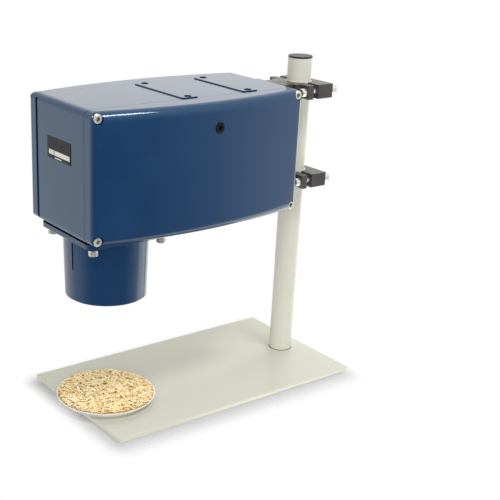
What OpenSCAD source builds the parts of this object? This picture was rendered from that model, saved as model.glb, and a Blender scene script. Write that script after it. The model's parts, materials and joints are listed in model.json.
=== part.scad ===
// Bench moisture sensor: an infrared measuring head clamped to a pole on a flat base plate.
// Millimetres, +Z up, +X along the base plate, the front cover faces -Y.
// The origin is the middle of the base plate's underside.

/* [Base plate] */
// Length of the base plate
base_l = 450; // [400:5:520]
// Width of the base plate
base_w = 250; // [220:5:300]
// Thickness of the base plate
base_t = 6; // [6:1:10]
// Corner radius of the base plate
base_corner_r = 3; // [1:1:8]

/* [Pole] */
// Outer diameter of the pole
pole_d = 38; // [34:1:42]
// Wall of the pole
pole_wall = 3; // [2:0.5:4]
// Length of the pole above the base plate
pole_h = 495; // [480:5:600]
// Distance from the pole's axis to the right end of the base plate
pole_inset = 41; // [35:1:60]

/* [Measuring head] */
// Length of the housing, from end to end
head_l = 362; // [350:2:390]
// Height of the housing
head_h = 185; // [175:1:200]
// Width of the middle casting, between the two covers
body_w = 126; // [120:1:140]
// Height of the housing's floor above the base plate
head_lift = 280; // [260:5:300]
// Distance from the pole's axis to the right end of the housing
pole_gap = 68; // [64:1:80]
// Wall of the middle casting
body_wall = 6; // [5:0.5:8]
// Corner radius of the housing, seen from the front
corner_r = 10; // [8:1:14]
// Width of the sealing flange round the open sides
seal_flange = 18; // [17:1:22]

/* [Covers] */
// Depth of a cover at its ends
cover_d = 22; // [20:1:28]
// How far a cover bows out in its middle
cover_bow = 22; // [12:1:28]
// Radius of a cover's upper and lower edges
cover_edge_r = 14; // [10:1:16]
// Radius of a cover's upright corners
cover_corner_r = 9; // [3:0.5:10]
// Wall of the covers
cover_wall = 4; // [3:0.5:5]
// Gap at the front seam
front_seam = 0.6; // [0.4:0.2:2]
// Gap at the rear seam
rear_seam = 3; // [1:0.5:4]
// Width of the groove that the rear cover leaves beside its seam
rear_groove = 3; // [1:0.5:5]

/* [Snout] */
// How far the snout's mouth stands back from the casting's sides
snout_margin = 2; // [0:0.5:6]
// How much wider the snout is at its flange, for draft
snout_draft = 2.5; // [1:0.5:4]
// Distance from the housing's left end to the nearest flange screws
flange_screw_end = 18; // [17:0.5:24]
// Length of the snout below its flange
snout_l = 95; // [85:1:110]
// How far the flange screws stand inside the casting's sides
flange_screw_inset = 6; // [6:0.5:9]
// How far the flange reaches past its screws
flange_edge = 14; // [12:1:16]
// Thickness of the snout flange
flange_t = 8; // [6:0.5:9]
// Depth of the window above the snout's mouth
window_depth = 22; // [16:1:26]

/* [Top pads] */
// How far the tapped holes stand inside the casting's sides
pad_edge = 9; // [8:0.5:13]
// Width of a pad
pad_w = 28; // [24:1:32]
// Height of a pad
pad_h = 1.5; // [1:0.5:4]
// Distance from the housing's middle to the middle of the hole pattern
pad_offset = 47; // [30:1:50]

/* [Clamps] */
// Length of a clamp across the pole
clamp_w = 92; // [90:1:100]
// Height of a clamp
clamp_h = 22; // [20:1:26]
// Thickness of a clamp cap
clamp_cap_t = 30.5; // [28:0.5:34]
// Gap between the two halves of a clamp
clamp_split = 9; // [6:0.5:10]
// Wall of the liner bushes
liner_t = 1.45; // [1.2:0.05:1.6]

/* [Screws] */
// Diameter of the cover, flange and clamp screws
bolt_d = 8; // [7:0.5:8]
// Diameter of their heads
bolt_head_d = 13; // [12:0.5:13.5]

/* [Optics] */
// Gap between the optical bench and the casting's inner walls
bench_gap = 3; // [2:0.5:6]
// Gap between the filter wheel and the legs of its bracket
wheel_gap = 3; // [2:0.5:6]
// Number of filters
filter_n = 6; // [4:1:8]

/* [Sample dish] */
// Outer radius of the dish
dish_r = 76; // [65:1:80]
// Height of the dish
dish_h = 9; // [7:0.5:14]

/* [Hidden] */
$fn = 64;

// clearances
run_fit = 0.05;        // running fit, on the radius
hole_fit = 0.25;       // clearance of a bolt in its hole, on the radius
press_gap = 0.05;      // a plug in its tube, a pin in its seat
cut = 1;               // how far a cutter reaches past a face

// places that follow from the sizes
pole_r = pole_d / 2;
pole_x = base_l / 2 - pole_inset;
head_x1 = pole_x - pole_gap;
head_x0 = head_x1 - head_l;
head_cx = (head_x0 + head_x1) / 2;
head_z0 = base_t + head_lift;
head_z1 = head_z0 + head_h;
head_cz = (head_z0 + head_z1) / 2;
floor_z = head_z0 + body_wall;
bow_r = (head_l * head_l / 4 + cover_bow * cover_bow) / (2 * cover_bow);
screw_inset = 8.5;
bolt_r = bolt_d / 2;
bolt_head_r = bolt_head_d / 2;
bolt_head_h = bolt_d;
tap_r = bolt_r * 0.85;
pocket_r = bolt_head_r + 0.7;
pocket_floor = 14;     // from the seam to the floor of a screw pocket
front_y = -body_w / 2 - front_seam;
rear_y = body_w / 2 + rear_seam;

// Blocks, rounded blocks and screws that the parts share
module slab(x, y, z, size) translate([x, y, z]) cube(size);

module rounded_rect(w, h, r) {
    translate([0, r]) square([w, h - 2 * r]);
    translate([r, 0]) square([w - 2 * r, h]);
    for (x = [r, w - r], y = [r, h - r]) translate([x, y]) circle(r);
}

// A rounded rectangle of the housing's front outline, inset and run from y0 to y1
module front_prism(inset, y0, y1, r) {
    translate([head_x0 + inset, y1, head_z0 + inset]) rotate([90, 0, 0])
        linear_extrude(y1 - y0) rounded_rect(head_l - 2 * inset, head_h - 2 * inset, r);
}

module rod_x(pos, r, l) translate(pos) rotate([0, 90, 0]) cylinder(r = r, h = l);
module rod_y(pos, r, l) translate(pos) rotate([-90, 0, 0]) cylinder(r = r, h = l);
module rod_z(pos, r, l) translate(pos) cylinder(r = r, h = l);

// A block whose four upper edges are bevelled, and a block with all its edges bevelled
module roof_profile(w, h, b) polygon([[0, 0], [w, 0], [w, h - b], [w - b, h], [b, h], [0, h - b]]);
module roof_block(size, b) intersection() {
    rotate([90, 0, 90]) linear_extrude(size[0]) roof_profile(size[1], size[2], b);
    translate([0, size[1], 0]) rotate([90, 0, 0]) linear_extrude(size[1]) roof_profile(size[0], size[2], b);
}
module bevel_profile(w, h, b)
    polygon([[b, 0], [w - b, 0], [w, b], [w, h - b], [w - b, h], [b, h], [0, h - b], [0, b]]);
module bevel_slab(x, y, z, size, b) translate([x, y, z]) intersection() {
    linear_extrude(size[2]) bevel_profile(size[0], size[1], b);
    rotate([90, 0, 90]) linear_extrude(size[0]) bevel_profile(size[1], size[2], b);
    translate([0, size[1], 0]) rotate([90, 0, 0]) linear_extrude(size[1]) bevel_profile(size[0], size[2], b);
}

// A socket-head screw: the head's seat at z = 0, the head upwards, the shank down
module socket_screw(d, head_d, shank) {
    r = d / 2;
    edge = d * 0.08;
    difference() {
        union() {
            cylinder(r = head_d / 2, h = d - edge);
            translate([0, 0, d - edge]) cylinder(r1 = head_d / 2, r2 = head_d / 2 - edge, h = edge);
            translate([0, 0, -shank]) cylinder(r = r, h = shank + d / 2);
        }
        translate([0, 0, d * 0.45]) cylinder(r = d * 0.43, h = d, $fn = 6);
    }
}

// Base plate, pole and its fixing
foot_screw_d = 10;
foot_head_r = 9.6;
foot_head_h = 4.8;
foot_plug_h = 34;
base_bevel = 1;
module base_plate() color([0.80, 0.80, 0.75]) difference() {
    translate([-base_l / 2, -base_w / 2, 0]) intersection() {
        linear_extrude(base_t) rounded_rect(base_l, base_w, base_corner_r);
        roof_block([base_l, base_w, base_t], base_bevel);
    }
    translate([pole_x, 0, -cut]) cylinder(r = foot_screw_d / 2 + hole_fit, h = base_t + 2 * cut);
    translate([pole_x, 0, -0.01])
        cylinder(r1 = foot_head_r + 2 * hole_fit, r2 = foot_screw_d / 2 + hole_fit, h = foot_head_h + 0.3);
}

module pole() color([0.84, 0.84, 0.79]) translate([pole_x, 0, base_t]) difference() {
    cylinder(r = pole_r, h = pole_h, $fn = 96);
    translate([0, 0, -cut]) cylinder(r = pole_r - pole_wall, h = pole_h + 2 * cut, $fn = 96);
}

cap_t = 3;
module pole_cap() color([0.16, 0.16, 0.17]) translate([pole_x, 0, base_t + pole_h]) {
    rotate_extrude($fn = 96) {
        square([pole_r - 1, cap_t]);
        square([pole_r, cap_t - 1]);
        translate([pole_r - 1, cap_t - 1]) circle(1);
    }
    translate([0, 0, -12]) cylinder(r = pole_r - pole_wall - press_gap, h = 12);
}

module foot_plug() color([0.72, 0.73, 0.74]) translate([pole_x, 0, base_t]) difference() {
    cylinder(r = pole_r - pole_wall - press_gap, h = foot_plug_h);
    translate([0, 0, -cut]) cylinder(r = foot_screw_d / 2 + press_gap, h = foot_plug_h - 4 + cut);
}

module foot_screw() color([0.55, 0.56, 0.58]) translate([pole_x, 0, 0.3]) difference() {
    union() {
        cylinder(r1 = foot_head_r, r2 = foot_screw_d / 2, h = foot_head_h);
        cylinder(r = foot_screw_d / 2, h = base_t + foot_plug_h - 8);
    }
    translate([0, 0, -cut]) cylinder(r = 3.4, h = 3.2 + cut, $fn = 6);
}

// Clamps: two-piece blocks that grip the pole over split liner bushes
conn_r = 10;
conn_rim = 2;
conn_y = body_w / 2 - 20;
conn_gap = 3;          // from a connector's rim to the bracket plate
bracket_t = 8;
bracket_w = 2 * (conn_y - conn_r - conn_rim - conn_gap);
arm_w = bracket_w - 8;
arm_x0 = head_x1 + bracket_t;
clamp_bore_r = pole_r + run_fit + liner_t + run_fit;
clamp_z = [head_z0 + 15, head_z1 - 28];   // undersides of the lower and upper clamp
ear_t = 12.5;
ear_bolt_y = clamp_w / 2 - 8;
hub_w = 2 * clamp_bore_r + 18;
hub_back = 12;         // from the bore to the back of the clamp's middle
split_offset = 0.5;    // from the pole's axis to the cap's joint face
split_x1 = pole_x + split_offset;
split_x0 = split_x1 - clamp_split;
module clamp_liners() color([0.78, 0.76, 0.70]) for (z = clamp_z) translate([pole_x, 0, z]) difference() {
    cylinder(r = pole_r + run_fit + liner_t, h = clamp_h, $fn = 96);
    translate([0, 0, -cut]) cylinder(r = pole_r + run_fit, h = clamp_h + 2 * cut, $fn = 96);
    slab(-1, 0, -cut, [2, pole_d, clamp_h + 2 * cut]);
}

module clamp_bore(z) translate([pole_x, 0, z - cut]) cylinder(r = clamp_bore_r, h = clamp_h + 2 * cut, $fn = 96);
module clamp_bolt_holes(z) for (y = [-ear_bolt_y, ear_bolt_y])
    rod_x([split_x0 - ear_t - cut, y, z + clamp_h / 2], bolt_r + hole_fit,
          ear_t + clamp_split + clamp_cap_t + 2 * cut);

ear_bevel = [5, 10];
clamp_bevel = 0.8;
module clamp_body(z) color([0.25, 0.24, 0.25]) difference() {
    union() {
        slab(arm_x0, -arm_w / 2, z, [split_x0 - ear_t - arm_x0 + cut, arm_w, clamp_h]);
        slab(pole_x - clamp_bore_r - hub_back, -hub_w / 2, z,
             [split_x0 - pole_x + clamp_bore_r + hub_back, hub_w, clamp_h]);
        difference() {
            bevel_slab(split_x0 - ear_t, -clamp_w / 2, z, [ear_t, clamp_w, clamp_h], clamp_bevel);
            translate([split_x0 - ear_t, clamp_w, z]) rotate([90, 0, 0]) linear_extrude(2 * clamp_w)
                polygon([[-cut, -cut], [ear_bevel[0], -cut], [ear_bevel[0], 0], [0, ear_bevel[1]], [-cut, ear_bevel[1]]]);
        }
    }
    clamp_bore(z);
    clamp_bolt_holes(z);
    for (y = [-arm_screw_y, arm_screw_y])
        rod_x([arm_x0 - cut, y, z + clamp_h / 2], arm_screw_r + press_gap, 16 + cut);
}
module lower_clamp_body() clamp_body(clamp_z[0]);
module upper_clamp_body() clamp_body(clamp_z[1]);

module clamp_cap(z) color([0.28, 0.27, 0.28]) difference() {
    bevel_slab(split_x1, -clamp_w / 2, z, [clamp_cap_t, clamp_w, clamp_h], clamp_bevel);
    clamp_bore(z);
    clamp_bolt_holes(z);
}
module lower_clamp_cap() clamp_cap(clamp_z[0]);
module upper_clamp_cap() clamp_cap(clamp_z[1]);

clamp_reach = ear_t + clamp_split + clamp_cap_t;
washer_t = 1.6;
nut_t = 6.5;
module clamp_bolts() color([0.70, 0.71, 0.72]) for (z = clamp_z, y = [-ear_bolt_y, ear_bolt_y])
    translate([split_x0 - ear_t, y, z + clamp_h / 2]) rotate([0, -90, 0])
        socket_screw(bolt_d, bolt_head_d, clamp_reach + washer_t + nut_t + 3);

module clamp_nuts() color([0.72, 0.73, 0.74]) for (z = clamp_z, y = [-ear_bolt_y, ear_bolt_y])
    translate([split_x1 + clamp_cap_t, y, z + clamp_h / 2]) rotate([0, 90, 0]) difference() {
        union() {
            cylinder(r = bolt_head_r + 1.3, h = washer_t);
            translate([0, 0, washer_t]) cylinder(r = bolt_head_r / cos(30), h = nut_t, $fn = 6);
        }
        translate([0, 0, -cut]) cylinder(r = bolt_r + press_gap, h = washer_t + nut_t + 2 * cut);
    }

// Bracket plate on the housing's right end
bracket_z0 = clamp_z[0] - 5;
bracket_z1 = clamp_z[1] + clamp_h + 3;
bracket_screw_y = bracket_w / 2 - 10;
bracket_screw_z = [clamp_z[0] + 46, clamp_z[1] - 24];
arm_screw_y = bracket_w / 4;
arm_screw_r = 3;
arm_head_r = 5.8;
module bracket_plate() color([0.26, 0.25, 0.26]) difference() {
    translate([head_x1, -bracket_w / 2, bracket_z0]) rotate([90, 0, 90])
        roof_block([bracket_w, bracket_z1 - bracket_z0, bracket_t], clamp_bevel);
    for (y = [-bracket_screw_y, bracket_screw_y], z = bracket_screw_z)
        rod_x([head_x1 - cut, y, z], bolt_r + hole_fit, bracket_t + 2 * cut);
    for (y = [-arm_screw_y, arm_screw_y], z = clamp_z) translate([head_x1, y, z + clamp_h / 2]) rotate([0, 90, 0]) {
        translate([0, 0, -cut]) cylinder(r = arm_screw_r + hole_fit, h = bracket_t + 2 * cut);
        translate([0, 0, -0.01]) cylinder(r1 = arm_head_r + hole_fit, r2 = arm_screw_r + hole_fit, h = 3.4);
    }
}

module bracket_screws() color([0.70, 0.71, 0.72]) for (y = [-bracket_screw_y, bracket_screw_y], z = bracket_screw_z)
    translate([head_x1 + bracket_t, y, z]) rotate([0, 90, 0])
        socket_screw(bolt_d, bolt_head_d, bracket_t + body_wall + 6);

module arm_screws() color([0.45, 0.45, 0.47]) for (y = [-arm_screw_y, arm_screw_y], z = clamp_z)
    translate([head_x1 + 0.2, y, z + clamp_h / 2]) rotate([0, 90, 0]) difference() {
        union() {
            cylinder(r1 = arm_head_r, r2 = arm_screw_r, h = 3.2);
            cylinder(r = arm_screw_r, h = bracket_t + 13);
        }
        translate([0, 0, -cut]) cylinder(r = 1.9, h = 2.4 + cut, $fn = 6);
    }

// Middle casting of the housing
flange_hole = body_w / 2 - flange_screw_inset;
flange_w = 2 * (flange_hole + flange_edge);
snout_inset = flange_hole + flange_screw_end;
snout_x = head_x0 + snout_inset;
snout_gasket_t = 1.5;
snout_r = body_w / 2 - snout_margin;
snout_wall = 4;
barrel_r = snout_r - snout_wall;
throat_r = barrel_r - 5;
pad_pitch = body_w - 2 * pad_edge;
pad_bevel = 0.6;
pad_corner_r = 5;
pad_x = [head_cx + pad_offset - pad_pitch / 2, head_cx + pad_offset + pad_pitch / 2];
conn_z = clamp_z[0] + 44;
boss_r = 9.5;
corners_x = [head_x0 + screw_inset, head_x1 - screw_inset];
corners_z = [head_z0 + screw_inset, head_z1 - screw_inset];
module housing_body() color([0.25, 0.33, 0.45]) difference() {
    union() {
        difference() {
            front_prism(0, -body_w / 2, body_w / 2, corner_r);
            front_prism(body_wall, -body_w / 2 + body_wall, body_w / 2 - body_wall, corner_r - body_wall);
            front_prism(seal_flange, -body_w, body_w, corner_r - body_wall);
        }
        for (x = corners_x, z = corners_z) rod_y([x, -body_w / 2, z], boss_r - 1.2, body_w);
        for (x = pad_x) translate([x - pad_w / 2, -body_w / 2 + 1, head_z1 - cut]) intersection() {
            linear_extrude(pad_h + cut) rounded_rect(pad_w, body_w - 2, pad_corner_r);
            roof_block([pad_w, body_w - 2, pad_h + cut], pad_bevel);
        }
        intersection() {
            front_prism(1, -body_w / 2, body_w / 2, corner_r - 1);
            union() {
                for (x = pad_x, y = [-pad_pitch / 2, pad_pitch / 2]) rod_z([x, y, head_z1 - body_wall - 8], 8, 16);
                for (dx = [-flange_hole, flange_hole], dy = [-flange_hole, flange_hole])
                    rod_z([snout_x + dx, dy, head_z0], 8, 17);
                for (y = [-bracket_screw_y, bracket_screw_y], z = bracket_screw_z)
                    rod_x([head_x1 - body_wall - 8, y, z], 8, 16);
            }
        }
    }
    for (x = corners_x, z = corners_z) {
        rod_y([x, -body_w / 2 - cut, z], bolt_r + press_gap, 20 + cut);
        rod_y([x, body_w / 2 - 20, z], bolt_r + press_gap, 20 + cut);
    }
    for (x = pad_x, y = [-pad_pitch / 2, pad_pitch / 2]) rod_z([x, y, head_z1 - body_wall - 4], tap_r, 40);
    rod_z([snout_x, 0, head_z0 - cut], throat_r, body_wall + 2 * cut);
    for (dx = [-flange_hole, flange_hole], dy = [-flange_hole, flange_hole])
        rod_z([snout_x + dx, dy, head_z0 - cut], bolt_r + press_gap, 14 + cut);
    for (y = [-bracket_screw_y, bracket_screw_y], z = bracket_screw_z)
        rod_x([head_x1 - body_wall - 7, y, z], bolt_r + press_gap, 40);
    for (y = [-conn_y, conn_y]) rod_x([head_x1 - 2 * body_wall, y, conn_z], conn_r + press_gap, 40);
}

// Covers: dished shells whose faces bow out, with screw pockets in their corners.
// Drawn for the front; the seam is at y = 0 and the face looks to -Y.
arc_y = bow_r - cover_d - cover_bow;       // centre of the bow's arc
bow_corner_y = arc_y - sqrt(pow(bow_r - cover_corner_r, 2) - pow(head_l / 2 - cover_corner_r, 2));
bow_touch = (head_l / 2 - cover_corner_r) * bow_r / (bow_r - cover_corner_r);
module bowed_block(skin, edge_r, depth) {
    inner_r = bow_r - 3 * (cover_d + cover_bow);
    intersection() {
        front_prism(skin, -depth - cover_bow - cut, 0, max(corner_r - skin, 3));
        translate([head_cx, arc_y, head_z0 + skin]) rotate([0, 0, -120]) rotate_extrude(angle = 60, $fn = 360)
            translate([inner_r, 0]) {
                w = bow_r - skin - inner_r;
                h = head_h - 2 * skin;
                square([w - edge_r, h]);
                translate([0, edge_r]) square([w, h - 2 * edge_r]);
                for (z = [edge_r, h - edge_r]) translate([w - edge_r, z]) circle(edge_r);
            }
    }
}

module corner_trim() for (s = [-1, 1]) translate([head_cx, 0, head_z0 - cut]) linear_extrude(head_h + 2 * cut)
    difference() {
        translate([s > 0 ? bow_touch : -bow_touch - 2 * cover_corner_r, -cover_d - cover_bow])
            square([2 * cover_corner_r, cover_d + cover_bow + bow_corner_y]);
        translate([s * (head_l / 2 - cover_corner_r), bow_corner_y]) circle(cover_corner_r, $fn = 96);
    }

module cover_shell() difference() {
    union() {
        difference() {
            bowed_block(0, cover_edge_r, cover_d);
            bowed_block(cover_wall, cover_edge_r - cover_wall, cover_d);
        }
        intersection() {
            bowed_block(0, cover_edge_r, cover_d);
            for (x = corners_x, z = corners_z) rod_y([x, -cover_d - 6, z], boss_r + 1.5, cover_d + 6);
        }
    }
    corner_trim();
    for (x = corners_x, z = corners_z) {
        rod_y([x, -cover_d - cover_bow, z], pocket_r, cover_d + cover_bow - pocket_floor);
        rod_y([x, -cover_d, z], bolt_r + hole_fit, cover_d + cut);
    }
}

module cover_screws(seam) for (x = corners_x, z = corners_z) translate([x, -pocket_floor, z]) rotate([90, 0, 0])
    socket_screw(bolt_d, bolt_head_d, pocket_floor + seam + 14);
module cover_gasket(t) translate([0, t, 0]) difference() {
    front_prism(14, -t, 0, 5);
    front_prism(seal_flange, -t - cut, cut, 3);
}

port_x = head_cx + 11;
port_z = head_z1 - 35;
port_r = 6;
port_y = arc_y - sqrt(bow_r * bow_r - pow(port_x - head_cx, 2));
module front_cover() color([0.16, 0.25, 0.40]) translate([0, front_y, 0]) difference() {
    cover_shell();
    rod_y([port_x, port_y - cut, port_z], port_r + press_gap, cover_wall + 2 * cut);
    rod_y([port_x, port_y - cut, port_z], port_r + 1.8, cut + 0.8);
}
module port_plug() color([0.07, 0.08, 0.10]) translate([port_x, front_y + port_y, port_z]) rotate([-90, 0, 0]) difference() {
    union() {
        translate([0, 0, -0.8]) cylinder(r = port_r + 1.4, h = 1.6);
        cylinder(r = port_r, h = cover_wall + 3);
    }
    translate([0, 0, -cut - 0.8]) cylinder(r = 3.4, h = cut + 2.6, $fn = 6);
}
groove_depth = 2;
module rear_cover() color([0.16, 0.25, 0.40]) translate([0, rear_y, 0]) mirror([0, 1, 0]) difference() {
    cover_shell();
    difference() {
        front_prism(-cut, -rear_groove, cut, corner_r + cut);
        front_prism(groove_depth, -rear_groove - cut, 2 * cut, corner_r - groove_depth);
    }
}
module front_cover_screws() color([0.80, 0.80, 0.78]) translate([0, front_y, 0]) cover_screws(front_seam);
module rear_cover_screws() color([0.80, 0.80, 0.78])
    translate([0, rear_y, 0]) mirror([0, 1, 0]) cover_screws(rear_seam);
module front_gasket() color([0.06, 0.06, 0.07]) translate([0, front_y, 0]) cover_gasket(front_seam);
module rear_gasket() color([0.06, 0.06, 0.07]) translate([0, body_w / 2, 0]) cover_gasket(rear_seam);

nameplate_size = [0.8, 63, 30];
nameplate_y = 3;
module nameplate() color([0.08, 0.08, 0.08])
    slab(head_x0 - nameplate_size[0], nameplate_y - nameplate_size[1] / 2, head_cz + 25 - nameplate_size[2] / 2, nameplate_size);

// Bulkhead connectors on the housing's right end
module bulkhead_connector(y) translate([head_x1, y, conn_z]) rotate([0, 90, 0]) {
    difference() {
        union() {
            cylinder(r = conn_r + conn_rim, h = 3);
            cylinder(r = conn_r - 1, h = 18);
            translate([0, 0, -body_wall - 10]) cylinder(r = conn_r, h = body_wall + 10);
        }
        translate([0, 0, 6]) cylinder(r = conn_r - 2.4, h = 13);
    }
    for (a = [0 : 72 : 359]) rotate(a) translate([4, 0, 5]) cylinder(r = 0.8, h = 9);
    translate([0, 0, -body_wall - 4]) difference() {
        cylinder(r = conn_r + 2.5, h = 4, $fn = 6);
        translate([0, 0, -cut]) cylinder(r = conn_r + press_gap, h = 4 + 2 * cut);
    }
}
module power_inlet() color([0.10, 0.10, 0.11]) bulkhead_connector(conn_y);
module signal_connector() color([0.62, 0.63, 0.64]) bulkhead_connector(-conn_y);

// Snout, its window and its fixing
flange_z1 = head_z0 - snout_gasket_t;
flange_z0 = flange_z1 - flange_t;
mouth_z = flange_z0 - snout_l;
mouth_edge = 1;
window_z = mouth_z + window_depth;
window_t = 4;
ring_t = 6;
seal_t = 1.5;
ledge_z = window_z + ring_t + window_t + seal_t;
slot_size = [2, 3.2, 41];     // depth, width and length of the upright slot
slot_turn = 8;                // its angle from the left, towards the front
slot_drop = 6;                // its upper end below the flange
spring_washer_t = 2;
module snout() color([0.15, 0.24, 0.38]) difference() {
    union() {
        translate([snout_x - flange_w / 2, flange_w / 2, flange_z1]) rotate([180, 0, 0]) intersection() {
            linear_extrude(flange_t) rounded_rect(flange_w, flange_w, flange_edge);
            roof_block([flange_w, flange_w, flange_t], base_bevel);
        }
        translate([snout_x, 0, mouth_z + mouth_edge])
            cylinder(r1 = snout_r, r2 = snout_r + snout_draft, h = snout_l - mouth_edge + cut, $fn = 128);
        translate([snout_x, 0, mouth_z])
            cylinder(r1 = snout_r - mouth_edge, r2 = snout_r, h = mouth_edge, $fn = 128);
    }
    rod_z([snout_x, 0, mouth_z - cut], barrel_r, ledge_z - mouth_z + cut);
    rod_z([snout_x, 0, mouth_z - cut], throat_r, snout_l + flange_t + 2 * cut);
    for (dx = [-flange_hole, flange_hole], dy = [-flange_hole, flange_hole])
        rod_z([snout_x + dx, dy, flange_z0 - cut], bolt_r + hole_fit, flange_t + 2 * cut);
    translate([snout_x, 0, flange_z0 - slot_drop - slot_size[2]]) rotate(180 + slot_turn)
        slab(snout_r - slot_size[0], -slot_size[1] / 2, 0,
             [slot_size[0] + snout_draft + cut, slot_size[1], slot_size[2]]);
}

module snout_gasket() color([0.06, 0.06, 0.07]) difference() {
    slab(snout_x - flange_w / 2 + 5, -body_w / 2 + 1, flange_z1, [flange_w - 10, body_w - 2, snout_gasket_t]);
    rod_z([snout_x, 0, flange_z1 - cut], throat_r + 1, snout_gasket_t + 2 * cut);
    for (dx = [-flange_hole, flange_hole], dy = [-flange_hole, flange_hole])
        rod_z([snout_x + dx, dy, flange_z1 - cut], bolt_r + 0.4, snout_gasket_t + 2 * cut);
}

module snout_screws() color([0.78, 0.78, 0.76]) for (dx = [-flange_hole, flange_hole], dy = [-flange_hole, flange_hole])
    translate([snout_x + dx, dy, flange_z0]) rotate([180, 0, 0]) {
        cylinder(r = bolt_head_r + 1.3, h = washer_t);
        cylinder(r = bolt_head_r - 0.4, h = washer_t + spring_washer_t);
        translate([0, 0, washer_t + spring_washer_t])
            socket_screw(bolt_d, bolt_head_d, washer_t + spring_washer_t + flange_t + snout_gasket_t + 12);
    }

module window_ring() color([0.12, 0.12, 0.13]) difference() {
    rod_z([snout_x, 0, window_z], barrel_r - press_gap, ring_t);
    rod_z([snout_x, 0, window_z - cut], throat_r - 1, ring_t + 2 * cut);
    for (a = [0 : 90 : 359]) translate([snout_x, 0, window_z - cut]) rotate(a) translate([barrel_r - 3.9, 0, 0])
        cylinder(r = 1.5, h = 3 + cut);
}
module window_glass() color([0.75, 0.85, 0.88, 0.5]) rod_z([snout_x, 0, window_z + ring_t], barrel_r - 0.3, window_t);
module window_seal() color([0.05, 0.05, 0.05]) difference() {
    rod_z([snout_x, 0, window_z + ring_t + window_t], barrel_r - 0.4, seal_t);
    rod_z([snout_x, 0, window_z + ring_t + window_t - cut], throat_r + 0.5, seal_t + 2 * cut);
}

// Optics inside the head: lamp, lens, filter wheel and motor above the bench, mirror below it
bench_z = floor_z + 96;
bench_t = 6;
bench_top = bench_z + bench_t;
bench_x0 = head_x0 + 10;
bench_l = 2 * snout_inset + 2;
bench_half_w = body_w / 2 - body_wall - bench_gap;
pillar_x = [bench_x0 + 14, bench_x0 + bench_l - 9];
pillar_y = bench_half_w - 14;
beam_r = 11;
leg_t = 5;
wheel_r = bench_half_w - leg_t - wheel_gap;
filter_r = wheel_r * 0.175;
wheel_pitch = wheel_r - filter_r - 4;
wheel_x = snout_x + wheel_pitch;
wheel_t = 4;
wheel_z = bench_top + 8;
bridge_z = wheel_z + wheel_t + 4;
bridge_t = 4;
lamp_front = 12.5;     // from the beam to the front of the lamp holder
lamp_back = 34;        // from the beam to the back of its post
motor_r = 0.7 * (wheel_pitch - lamp_front);
bridge_x0 = wheel_x - motor_r + 1;
bridge_l = 2 * motor_r + 2;
motor_h = 38;
shaft_r = 3;
module optical_bench() color([0.60, 0.61, 0.63]) difference() {
    slab(bench_x0, -bench_half_w, bench_z, [bench_l, 2 * bench_half_w, bench_t]);
    rod_z([snout_x, 0, bench_z - cut], beam_r, bench_t + 2 * cut);
    for (x = pillar_x, y = [-pillar_y, pillar_y]) rod_z([x, y, bench_z - cut], 2.5 + hole_fit, bench_t + 2 * cut);
}
module bench_pillars() color([0.70, 0.71, 0.72]) for (x = pillar_x, y = [-pillar_y, pillar_y]) translate([x, y, floor_z])
    difference() {
        cylinder(r = 5, h = bench_z - floor_z, $fn = 6);
        translate([0, 0, bench_z - floor_z - 12]) cylinder(r = 2.5 + press_gap, h = 12 + cut);
    }
module bench_screws() color([0.75, 0.75, 0.76]) for (x = pillar_x, y = [-pillar_y, pillar_y])
    translate([x, y, bench_top]) socket_screw(5, 8.5, bench_t + 10);

lamp_post_w = 24;
lens_seat = bridge_z + 6;
holder_top = bench_top + 60;
module lamp_holder() color([0.30, 0.30, 0.32]) difference() {
    union() {
        slab(snout_x - lamp_back, -lamp_post_w / 2, bench_top, [14, lamp_post_w, holder_top - bench_top]);
        slab(snout_x - lamp_back, -lamp_post_w / 2, bridge_z,
             [lamp_back + lamp_front, lamp_post_w, holder_top - bridge_z]);
    }
    rod_z([snout_x, 0, bridge_z - cut], 7, holder_top);
    rod_z([snout_x, 0, lens_seat], 9, holder_top);
}
module condenser_lens() color([0.80, 0.88, 0.92, 0.5]) translate([snout_x, 0, lens_seat]) intersection() {
    cylinder(r = 8.8, h = 6);
    translate([0, 0, -10]) sphere(r = 16, $fn = 96);
}
module lamp_bulb() color([0.90, 0.92, 0.95, 0.5]) translate([snout_x, 0, holder_top - 24]) {
    cylinder(r = 5.5, h = 14);
    sphere(r = 5.5);
}
module lamp_base() color([0.85, 0.84, 0.80]) translate([snout_x, 0, holder_top - 10]) {
    cylinder(r = 8.9, h = 10);
    for (y = [-3, 3]) rod_z([0, y, 10], 0.8, 5);
}

mirror_r = bench_half_w - 6;
mirror_gap = 16;
mirror_t = 18;
mirror_edge_t = 17;
mirror_curve_r = 110;       // radius of the polished hollow, a little over twice the mirror's own
mirror_z1 = bench_z - mirror_gap;
module collecting_mirror() color([0.88, 0.86, 0.70]) translate([snout_x, 0, mirror_z1 - mirror_t]) difference() {
    cylinder(r = mirror_r, h = mirror_t, $fn = 96);
    translate([0, 0, mirror_edge_t - 6 - mirror_curve_r]) sphere(r = mirror_curve_r, $fn = 180);
    translate([0, 0, -cut]) cylinder(r = beam_r, h = mirror_t + 2 * cut);
}
module mirror_posts() color([0.70, 0.71, 0.72]) for (a = [60, 180, 300])
    translate([snout_x, 0, mirror_z1]) rotate(a) translate([mirror_r - 8, 0, 0]) cylinder(r = 4, h = mirror_gap);

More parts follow.
